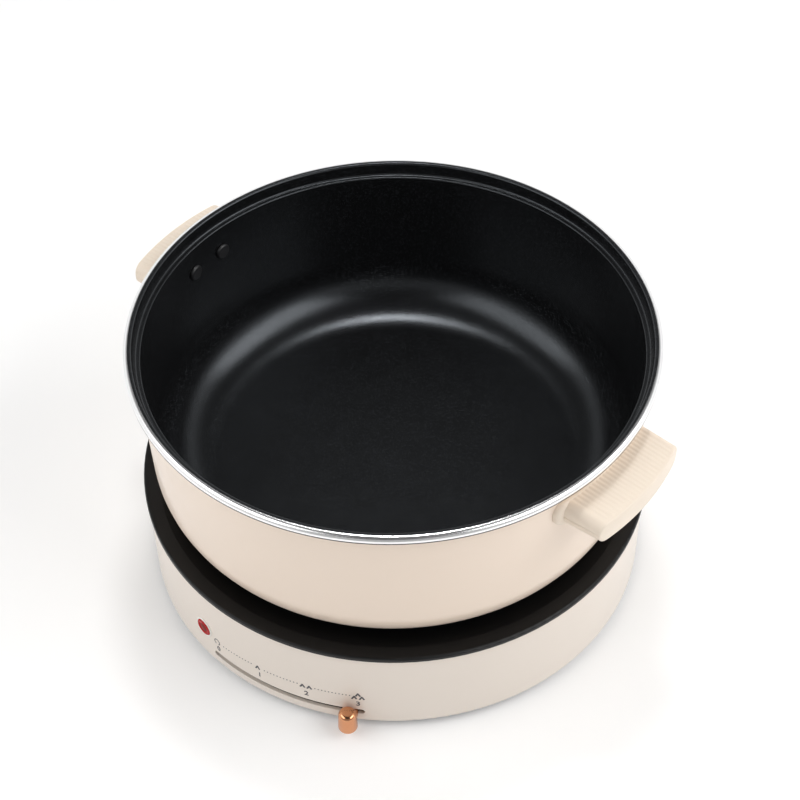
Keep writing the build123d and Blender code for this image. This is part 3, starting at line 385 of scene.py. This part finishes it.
def enamel(name, colour, shade, roughness):
    """Baked enamel: a gentle orange peel, and a faint cloudiness under a clear skin."""
    made = Finish(name, {"Coat Weight": 0.35, "Coat Roughness": 0.12, "IOR": 1.5})
    made.colour(colour, shade, made.noise(9, 3))
    made.feed("Roughness", roughness + 0.1 * made.noise(160, 3))
    made.bump(made.noise(420, 2) + 0.3 * made.noise(2600, 1), 0.00003, 0.5)
    return made


def bright_metal(name, colour, roughness, lines):
    """Bare metal with the fine lines that turning leaves in it, round the axis."""
    made = Finish(name, {"Metallic": 1.0})
    from_axis = made.node(
        "ShaderNodeVectorMath", {"operation": "LENGTH"}, {0: made.place((1, 1, 0))}, output="Value"
    )
    grain = made.node(
        "ShaderNodeTexNoise",
        {"noise_dimensions": "1D"},
        {"W": from_axis, "Scale": lines, "Detail": 3.0},
    )
    made.colour(colour, tuple(c * 0.86 for c in colour[:3]) + (1,), grain)
    made.feed("Roughness", roughness + 0.12 * grain + 0.05 * made.noise(60, 3))
    made.bump(grain, 0.00001, 0.3)
    return made


pot_enamel = enamel("pot_enamel", (0.85, 0.71, 0.59, 1), (0.83, 0.69, 0.57, 1), 0.3)
machined_base = bright_metal("machined_base", (0.80, 0.80, 0.81, 1), 0.26, 1500)

polished_bead = Finish("polished_bead", {"Metallic": 1.0})
polished_bead.colour(
    (0.97, 0.97, 0.975, 1), (0.94, 0.94, 0.945, 1), polished_bead.noise(60, 3)
)
polished_bead.feed("Roughness", 0.2 + 0.06 * polished_bead.noise(90, 3))
polished_bead.bump(polished_bead.noise(700, 2), 0.00001, 0.2)

# Small flakes lie in the black coat. One cell in seven of a fine pattern holds a flake.
nonstick = Finish(
    "nonstick", {"IOR": 1.5, "Specular IOR Level": 0.5, "Specular Tint": (0.86, 0.93, 1, 1)}
)
flake_cells = nonstick.node(
    "ShaderNodeTexVoronoi",
    {},
    {"Vector": nonstick.place(), "Scale": 1500, "Randomness": 1.0},
    output="Color",
)
flakes = nonstick.node("ShaderNodeSeparateColor", {}, {"Color": flake_cells}) > 0.86
nonstick.colour((0.0045, 0.0045, 0.0047, 1), (0.012, 0.0125, 0.014, 1), flakes)
nonstick.feed("Roughness", 0.2 + 0.08 * nonstick.noise(70, 3) - 0.06 * flakes)
nonstick.bump(nonstick.noise(1300, 2) + 0.5 * flakes, 0.00009, 0.7)

pot = draw_section("pot_shell", pot_corners, segments=12)
spin_round(256, 35)
coat(pot, pot_enamel)
coat(
    pot,
    polished_bead,
    lambda c, n: c.z > polish_level and c.xy.length > polish_inside
    or c.z > polish_top and n.z > 0.85,
)
coat(
    pot,
    nonstick,
    lambda c, n: c.xy.length < coat_outside and (n.xy.dot(c.xy) < -0.02 or n.z > 0.5),
)
# A thin strip of the black coat along the bead's lower edge: painted shade under the bead.
coat(pot, nonstick, lambda c, n: c.xy.length > polish_inside and c.z < painted_shade_top)
coat(pot, machined_base, lambda c, n: c.z < underside_level and n.z < -0.9)
fit(pot, "pot", "enamelled_aluminium", "pot_body")

# ------------------------------------------------------------------ handles
# Two moulded grips, each a flat bar with ribs along its top that grows out of a rounded
# collar. The collar hugs the wall and hides the steel bracket that is riveted to it.

handle_turns = (141.3, 321.3)
grip_low, grip_high, grip_rise = 140.6, 154.0, 2.8
grip_half, grip_tip_share = 38.0, 37.5 / 38
grip_corner, grip_edge = 5.4, 0.75
grip_length, root_runs, tip_runs = 25.9, (3, 3, 3), (0.8, 0.8, 1.6)
grip_face_radius, grip_face_middle = 150.0, 20.0
grip_sliced_to, collar_sliced_to, grip_flat_to, slice_pitch = 34, 42, 30, 2
rib_pitch, rib_depth, rib_steps = 2.85, 0.24, 8
rib_stop, rib_fade = 1.2, 1.2
parting_height, parting_depth, parting_steps = 147.3, 0.35, (1.1, 0.35, 0, -0.35, -1.1)
collar_half, collar_low, collar_middle, collar_high = 41.5, 139.1, 148.7, 156.8
collar_corner, collar_edge, collar_depth = 6.5, 2.4, 3.4
wall_draft, wall_gap = 1.9, 0.08
near = 0.01


def wall_radius(z):
    """Radius of the pot's outside at a height, with a gap for the grip."""
    return neck_radius - (neck_level - z) * math.tan(math.radians(wall_draft)) + wall_gap


def draw_outline(name, points):
    """Draws a closed outline through the points, fills it, and leaves it selected."""
    piece = draw_line(name, points)
    bpy.ops.mesh.select_all(action="SELECT")
    bpy.ops.mesh.edge_face_add()
    return piece


def draw_across(name, corners):
    """Draws a filled outline in the YZ plane."""
    return draw_outline(name, [(0, y, z) for y, z in corners])


def arc(y, z, radius, start, count=6):
    """Points of a quarter circle, for a rounded corner of an outline."""
    angles = [math.radians(start + 90 * i / count) for i in range(count + 1)]
    return [(y + radius * math.cos(a), z + radius * math.sin(a)) for a in angles]


def rounded_bar(half, low, high, corner, count=6):
    """An outline with four rounded corners, as wide to the left as to the right."""
    left, right, bottom, top = corner - half, half - corner, low + corner, high - corner
    return (
        arc(right, top, corner, 0, count)
        + arc(left, top, corner, 90, count)
        + arc(left, bottom, corner, 180, count)
        + arc(right, bottom, corner, 270, count)
    )


def pull(*runs):
    """Extrudes what is selected along +X, one run after another."""
    for run in runs:
        bpy.ops.mesh.extrude_region_move(TRANSFORM_OT_translate={"value": (run * MM, 0, 0)})


def round_end(piece, end, radius, segments):
    """Rounds the edges of the end face of a bar that was pulled along +X."""
    pick(piece, lambda p: p.x > (end - near) * MM)
    bpy.ops.mesh.bevel(offset=radius * MM, segments=segments, profile=0.5)


def slice_upright(reach):
    """Cuts the piece in edit mode by planes across Y, so that it can follow a curve."""
    for y in range(-reach, reach + 1, slice_pitch):
        bpy.ops.mesh.select_all(action="SELECT")
        bpy.ops.mesh.bisect(plane_co=(0, y * MM, 0), plane_no=(0, 1, 0))


corner_y = grip_half - grip_corner
rib_count = int(corner_y * rib_steps / rib_pitch)
grip_outline = (
    [(i * rib_pitch / rib_steps, grip_high) for i in range(-rib_count, rib_count + 1)]
    + arc(corner_y, grip_high - grip_corner, grip_corner, 0)[:0:-1]
    + [(grip_half, parting_height + step) for step in parting_steps]
    + arc(corner_y, grip_low + grip_corner, grip_corner, 270)[-2::-1]
    + [(y, grip_low) for y in range(grip_flat_to, -grip_flat_to - 1, -slice_pitch)]
    + arc(-corner_y, grip_low + grip_corner, grip_corner, 180)[:0:-1]
    + [(-grip_half, parting_height - step) for step in parting_steps]
    + arc(-corner_y, grip_high - grip_corner, grip_corner, 90)[-2::-1]
)
grip = draw_across("grip_left", grip_outline)
pull(*root_runs, grip_length - sum(root_runs) - sum(tip_runs), *tip_runs)
round_end(grip, grip_length, grip_edge, 4)
slice_upright(grip_sliced_to)
bpy.ops.object.mode_set(mode="OBJECT")
for vertex in grip.data.vertices:
    share = vertex.co.x / (grip_length * MM)
    from_face = grip_length - vertex.co.x / MM
    y, z = vertex.co.y / MM, vertex.co.z / MM
    fade = min(1, max(0, (from_face - rib_stop) / rib_fade))
    if z > grip_high - near and abs(y) < corner_y + near:
        z -= rib_depth * fade * (0.5 + 0.5 * math.cos(math.tau * y / rib_pitch))
    if abs(y) > grip_half - near and abs(z - parting_height) < near:
        y -= math.copysign(parting_depth * fade, y)
    z += grip_rise * (1 - share) * max(0, (z - parting_height) / (grip_high - parting_height))
    y *= 1 - share * (1 - grip_tip_share)
    inner = math.sqrt(wall_radius(z) ** 2 - y * y)
    outer = grip_face_middle + math.sqrt(grip_face_radius**2 - y * y)
    vertex.co = Vector((inner + share * (outer - inner), y, z)) * MM
close_up(40)

collar_outline = rounded_bar(collar_half, collar_low, collar_high, collar_corner)
collar = draw_across("collar_left", collar_outline)
pull(collar_depth)
round_end(collar, collar_depth, collar_edge, 6)
slice_upright(collar_sliced_to)
bpy.ops.object.mode_set(mode="OBJECT")
for vertex in collar.data.vertices:
    away, y, z = vertex.co / MM
    inner = math.sqrt(wall_radius(z) ** 2 - y * y)
    outer = math.sqrt((wall_radius(collar_middle) + collar_depth) ** 2 - y * y)
    vertex.co = Vector((inner + away / collar_depth * (outer - inner), y, z)) * MM
close_up(40)
collar.select_set(True)
bpy.context.view_layer.objects.active = grip
grip.select_set(True)
bpy.ops.object.join()

grip_plastic = Finish(
    "grip_plastic", {"IOR": 1.47, "Coat Weight": 0.15, "Coat Roughness": 0.25}
)
grip_plastic.colour(
    (0.84, 0.735, 0.615, 1), (0.815, 0.70, 0.58, 1), grip_plastic.noise(24, 4)
)
grip_plastic.feed("Roughness", 0.4 + 0.12 * grip_plastic.noise(220, 3))
grip_plastic.bump(grip_plastic.noise(1500, 2), 0.00003, 0.6)
coat(grip, grip_plastic)


def turn_about_axis(piece, degrees):
    """Turns a piece's mesh about the pot's axis, anticlockwise from above."""
    bpy.ops.object.select_all(action="DESELECT")
    piece.select_set(True)
    bpy.context.view_layer.objects.active = piece
    bpy.ops.object.mode_set(mode="EDIT")
    bpy.ops.mesh.select_all(action="SELECT")
    bpy.ops.transform.rotate(
        value=-math.radians(degrees), orient_axis="Z", center_override=(0, 0, 0)
    )
    bpy.ops.object.mode_set(mode="OBJECT")


def copy_of(piece, name):
    """A copy of a piece with a mesh of its own."""
    bpy.ops.object.select_all(action="DESELECT")
    piece.select_set(True)
    bpy.context.view_layer.objects.active = piece
    bpy.ops.object.duplicate(linked=False)
    made = bpy.context.object
    made.name = made.data.name = name
    return made


turn_about_axis(grip, handle_turns[0])
grip_right = copy_of(grip, "grip_right")
turn_about_axis(grip_right, handle_turns[1] - handle_turns[0])
fit(grip, "pot", "cream_grip", "handle_left")
fit(grip_right, "pot", "cream_grip", "handle_right")

# ------------------------------------------------------------------ temperature knob
# A small turned knob, plated in rose gold, that is moulded on the end of the lever. Its
# flat neck goes in through the slot of the housing, and it sweeps along the slot.

lever_azimuth, knob_reach = -101.12, 155.1
knob_low, knob_high = 6.05, 20.9
knob_corners = [(0, knob_low), (5.8, knob_low, 2.2), (5.05, knob_high, 2.8), (0, knob_high)]
neck_half, neck_low, neck_high, neck_corner = 5, 11.9, 15.1, 1.4
neck_start, neck_runs = 142, (4, 4.5, 3.5)

rose_gold = Finish("rose_gold", {"Metallic": 1.0})
rose_gold.colour((0.72, 0.35, 0.185, 1), (0.62, 0.28, 0.145, 1), rose_gold.noise(90, 3))
rose_gold.feed("Roughness", 0.1 + 0.08 * rose_gold.noise(400, 3))
rose_gold.bump(rose_gold.noise(500, 2), 0.00002, 0.3)

knob = draw_section("knob", knob_corners)
spin_round(64, 50)
bpy.ops.object.mode_set(mode="EDIT")
bpy.ops.mesh.select_all(action="SELECT")
bpy.ops.transform.translate(
    value=(
        knob_reach * math.cos(math.radians(lever_azimuth)) * MM,
        knob_reach * math.sin(math.radians(lever_azimuth)) * MM,
        0,
    )
)
bpy.ops.object.mode_set(mode="OBJECT")

neck = draw_across("knob_neck", rounded_bar(neck_half, neck_low, neck_high, neck_corner, 4))
bpy.ops.transform.translate(value=(neck_start * MM, 0, 0))
pull(*neck_runs)
close_up(50)
turn_about_axis(neck, lever_azimuth)
knob.select_set(True)
bpy.context.view_layer.objects.active = knob
bpy.ops.object.join()
coat(knob, rose_gold)
fit(knob, "lever", "rose_gold", "lever_knob")

# ------------------------------------------------------------------ base and ring
# The housing is a painted steel band, pressed in one piece. The ring that is screwed down
# on it, the bottom cover and the inlet are moulded in black heat-proof plastic with a
# fine grain, and the feet are rubber, pushed into the cover.

base_paint = enamel("base_paint", (0.78, 0.70, 0.625, 1), (0.76, 0.68, 0.60, 1), 0.34)


def moulding(name, colour, roughness, grain, shine=0.5):
    """Moulded plastic or rubber with a fine spark-eroded grain."""
    made = Finish(name, {"IOR": 1.5, "Specular IOR Level": shine})
    fine = made.noise(grain, 2)
    made.colour(colour, tuple(c * 1.25 for c in colour[:3]) + (1,), fine)
    made.feed("Roughness", roughness + 0.12 * made.noise(50, 3))
    made.bump(fine, 0.00004, 0.5)
    return made


black_moulding = moulding("black_moulding", (0.003, 0.003, 0.0032, 1), 0.33, 1300, 0.28)
rubber = moulding("foot_rubber", (0.015, 0.015, 0.016, 1), 0.7, 700)


def dress(finish, *nodes):
    """Gives a finish to plain parts that keep their own shape."""
    for node in nodes:
        for slot in frame["nodes"][node].material_slots:
            slot.material = finish.material


dress(base_paint, "base_housing")
dress(black_moulding, "top_ring", "bottom_cover", "inlet_socket")
dress(rubber, "feet")

# ------------------------------------------------------------------ pilot lamp
# A clear red lens pushed through the housing from inside. Its face has a raised rim and
# a sunk middle with a clouded disc, and a thin white bezel is clipped round it.

lamp_azimuth, lamp_height, lamp_back = -138.95, 30.3, 138.2
lens_radius, bore_radius, flange_radius, face_level = 5.5, 4.2, 7.2, 11.5
lens_corners = [
    (0, 8.9), (bore_radius, 8.9), (bore_radius, 0), (lens_radius, 0), (lens_radius, 6.55),
    (flange_radius, 6.55), (flange_radius, 7.85), (lens_radius, 7.85),
    (lens_radius, face_level, 0.6), (4.1, face_level, 0.3), (3.6, 11.1), (2.9, 11.1),
    (2.6, 11.35), (0, face_level),
]
cloud_radius, cloud_waver = 3.1, 0.6
bezel_corners = [
    (5.62, 10.3), (6.5, 10.3), (6.5, 10.9), (6.0, 11.1), (5.62, 10.9), (5.62, 10.3),
]


def lay_outwards(piece):
    """Turns an upright turned piece so that it points out of the housing at the lamp."""
    bpy.ops.object.mode_set(mode="EDIT")
    bpy.ops.mesh.select_all(action="SELECT")
    bpy.ops.transform.rotate(
        value=-math.radians(90), orient_axis="Y", center_override=(0, 0, 0)
    )
    bpy.ops.transform.translate(value=(lamp_back * MM, 0, lamp_height * MM))
    bpy.ops.object.mode_set(mode="OBJECT")
    turn_about_axis(piece, lamp_azimuth)


lamp_out = Vector((math.cos(math.radians(lamp_azimuth)), math.sin(math.radians(lamp_azimuth)), 0))
red_lens = Finish("red_lens", {"IOR": 1.45, "Specular IOR Level": 0.12})
from_axis = red_lens.node(
    "ShaderNodeVectorMath",
    {"operation": "CROSS_PRODUCT"},
    {0: red_lens.place(shift=(0, 0, -lamp_height * MM)), 1: lamp_out},
)
from_middle = red_lens.node(
    "ShaderNodeVectorMath", {"operation": "LENGTH"}, {0: from_axis}, output="Value"
)
clouded = (from_middle + cloud_waver * MM * red_lens.noise(900, 2)) < cloud_radius * MM
red_lens.colour((0.42, 0.004, 0.004, 1), (0.2, 0.03, 0.025, 1), clouded)
red_lens.feed("Roughness", 0.16 + 0.3 * clouded + 0.1 * red_lens.noise(300, 2))
red_lens.bump(red_lens.noise(700, 2), 0.00003, 0.4)
lens = draw_section("lens", lens_corners, segments=4)
spin_round(48, 40)
lay_outwards(lens)
coat(lens, red_lens)
fit(lens, "base", "red_lens", "lamp_lens")

white_bezel = moulding("white_bezel", (0.80, 0.79, 0.75, 1), 0.3, 900)
bezel = draw_section("lamp_bezel", bezel_corners)
spin_round(48, 40)
lay_outwards(bezel)
coat(bezel, white_bezel)
fit(bezel, "base", "cream_grip")

# ------------------------------------------------------------------ printed scale
# Marks for the heat settings, printed on the band above the slot in grey ink: an off
# circle, rows of dots, one to three flames, and a plain number under each. The ink lies
# a little over the paint, and reaches into it so that no gap shows. All is one piece.

band_radius = 148.7
ink_low, ink_high = -0.03, 0.05
dot_radius, dot_sides, row_dots = 0.4, 10, 11
dot_rows = ((-42.7, -34.6, 26.1, 27.7), (-31.1, -22.97, 27.3, 28.1), (-18.8, -11.0, 27.9, 28.2))
flame_outline = [
    (-1.85, -1.5), (-0.25, 1.6), (0.35, 1.6), (1.85, -0.9), (1.25, -1.5), (0.75, -1.3),
    (0.1, 0.1), (-0.75, -1.6),
]
flame_places = (
    ("one", -32.93, 27.2),
    ("two_a", -21.75, 27.5), ("two_b", -20.15, 27.5),
    ("three_a", -10.05, 26.7), ("three_b", -8.35, 26.7), ("three_c", -9.2, 29.5),
)
off_width, off_height, off_line, off_gap = 4.7, 5.2, 0.62, 50
off_sides, off_place = 40, (-44.8, 25.9)
digit_size, digit_weight = 5.4, 0.11
digit_places = ((-44.5, 20.0), (-32.5, 20.9), (-20.9, 20.9), (-9.2, 20.9))

ink = Finish("printing_ink", {"IOR": 1.45})
ink.colour((0.05, 0.05, 0.06, 1), (0.075, 0.075, 0.085, 1), ink.noise(900, 3))
ink.feed("Roughness", 0.5 + 0.2 * ink.noise(400, 2))
marks = []


def thicken_ink():
    """Gives the flat mark in edit mode the thickness of the ink."""
    bpy.ops.mesh.extrude_region_move(
        TRANSFORM_OT_translate={"value": (0, (ink_low - ink_high) * MM, 0)}
    )
    close_up(30)


def wrap(piece, azimuth, height):
    """Lays a flat mark on the band, with its middle at that azimuth and height."""
    for vertex in piece.data.vertices:
        x, y, z = vertex.co / MM
        a, r = math.radians(azimuth) + x / band_radius, band_radius - y
        vertex.co = Vector((r * math.sin(a), -r * math.cos(a), z + height)) * MM
    marks.append(piece)


def print_mark(name, outline, azimuth, height):
    """Prints a plate of ink with that outline at that azimuth and height."""
    mark = draw_outline(name, [(x, -ink_low, z) for x, z in outline])
    thicken_ink()
    wrap(mark, azimuth, height)


dot_turns = [math.tau * i / dot_sides for i in range(dot_sides)]
dot_outline = [(dot_radius * math.cos(a), dot_radius * math.sin(a)) for a in dot_turns]
for row, (first, last, low, high) in enumerate(dot_rows):
    for i in range(row_dots):
        azimuth = first + (last - first) * i / (row_dots - 1)
        height = low + (high - low) * i / (row_dots - 1)
        print_mark(f"dot_{row}_{i}", dot_outline, azimuth, height)

for name, azimuth, height in flame_places:
    print_mark(f"flame_{name}", flame_outline, azimuth, height)

bpy.ops.object.select_all(action="DESELECT")
bpy.ops.mesh.primitive_circle_add(vertices=off_sides, radius=1, location=(0, 0, 0))
off_circle = bpy.context.object
pick(off_circle, lambda p: p.y < -math.cos(math.radians(off_gap / 2)))
bpy.ops.mesh.delete(type="VERT")
bpy.ops.mesh.select_all(action="SELECT")
bpy.ops.transform.rotate(value=-math.radians(90), orient_axis="X", center_override=(0, 0, 0))
bpy.ops.transform.resize(
    value=(off_width / 2 * MM, MM, off_height / 2 * MM), center_override=(0, 0, 0)
)
bpy.ops.mesh.extrude_edges_move()
bpy.ops.transform.resize(
    value=(1 - 2 * off_line / off_width, 1, 1 - 2 * off_line / off_height),
    center_override=(0, 0, 0),
)
bpy.ops.mesh.select_all(action="SELECT")
bpy.ops.transform.translate(value=(0, -ink_low * MM, 0))
thicken_ink()
wrap(off_circle, *off_place)

for number, (azimuth, height) in enumerate(digit_places):
    bpy.ops.object.select_all(action="DESELECT")
    bpy.ops.object.text_add(location=(0, 0, 0), rotation=(math.radians(90), 0, 0))
    digit = bpy.context.object
    digit.data.body = str(number)
    digit.data.size = digit_size * MM
    digit.data.offset = digit_weight * MM
    digit.data.align_x = "CENTER"
    digit.data.align_y = "CENTER"
    digit.data.extrude = (ink_high - ink_low) / 2 * MM
    bpy.ops.object.convert(target="MESH")
    bpy.ops.object.transform_apply(location=True, rotation=True, scale=True)
    digit = bpy.context.object
    digit.name = f"digit_{number}"
    for vertex in digit.data.vertices:
        vertex.co.y -= (ink_high + ink_low) / 2 * MM
    close_up(30)
    wrap(digit, azimuth, height)

bpy.ops.object.select_all(action="DESELECT")
for mark in marks:
    mark.data.materials.clear()
    mark.data.materials.append(ink.material)
    mark.select_set(True)
bpy.context.view_layer.objects.active = marks[0]
bpy.ops.object.join()
scale_print = bpy.context.object
scale_print.name = scale_print.data.name = "heat_scale"
scale_print.select_set(False)
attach(scale_print, "base")

# ------------------------------------------------------------------ works under the plate
# The cast aluminium plate, with the sheathed heater pressed into it, is screwed down over
# a steel shield on posts. A sheet bridge under the plate carries the thermostat and guides
# the probe. Each part has the finish of its own metal, ceramic, glass or moulding.

cast_plate = bright_metal("cast_plate", (0.62, 0.62, 0.63, 1), 0.34, 1200)
steel = bright_metal("plain_steel", (0.60, 0.60, 0.61, 1), 0.28, 700)
sheath = bright_metal("heater_sheath", (0.30, 0.29, 0.28, 1), 0.42, 500)
brass = bright_metal("brass", (0.78, 0.58, 0.27, 1), 0.25, 700)
steatite = moulding("steatite", (0.62, 0.60, 0.55, 1), 0.55, 500)
sleeve = moulding("wire_sleeve", (0.55, 0.53, 0.50, 1), 0.45, 900)
bulb_glass = Finish("bulb_glass", {"Roughness": 0.05, "IOR": 1.5})
bulb_glass.colour((0.85, 0.5, 0.35, 1), (0.9, 0.7, 0.6, 1), bulb_glass.noise(300))
coated_rivet = moulding("coated_rivet", (0.012, 0.012, 0.013, 1), 0.3, 900)
slot_finish = {
    "cast_aluminium": cast_plate, "steel": steel, "heater_sheath": sheath, "brass": brass,
    "steatite": steatite, "wire_sleeve": sleeve, "clear_glass": bulb_glass,
    "coated_rivet": coated_rivet, "black_moulding": black_moulding, "rubber_black": rubber,
}
for part in frame["record"]["subparts"]:
    if part["material_slot"] in slot_finish:
        dress(slot_finish[part["material_slot"]], part["node"])

# ------------------------------------------------------------------ probe spring
# A coil of steel wire between the bridge and the cup of the probe, wound at one length.
# Its foot stays down on the bridge; nothing here makes it shorten when a pot presses the
# probe down.

spring_radius, spring_turns, turn_steps = 8.0, 5, 32
wire_radius, wire_sides = 1.0, 16
spring_low, spring_high = 39.4, 62.2
bpy.ops.object.select_all(action="DESELECT")
bpy.ops.mesh.primitive_circle_add(
    vertices=wire_sides, radius=wire_radius * MM, location=(0, 0, 0)
)
spring = bpy.context.object
spring.name = spring.data.name = "probe_coil"
bpy.ops.object.mode_set(mode="EDIT")
bpy.ops.mesh.select_all(action="SELECT")
bpy.ops.transform.rotate(value=-math.radians(90), orient_axis="X", center_override=(0, 0, 0))
bpy.ops.transform.translate(value=(spring_radius * MM, 0, spring_low * MM))
bpy.ops.object.mode_set(mode="OBJECT")
winding = spring.modifiers.new("winding", "SCREW")
winding.angle = math.tau
winding.screw_offset = (spring_high - spring_low) / spring_turns * MM
winding.iterations = spring_turns
winding.steps = winding.render_steps = turn_steps
bpy.ops.object.modifier_apply(modifier="winding")
bpy.ops.object.mode_set(mode="EDIT")
bpy.ops.mesh.select_all(action="SELECT")
bpy.ops.mesh.fill_holes(sides=0)
close_up(40)
coat(spring, steel)
spring.select_set(False)
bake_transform(spring)
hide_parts("probe_spring")

low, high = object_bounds()
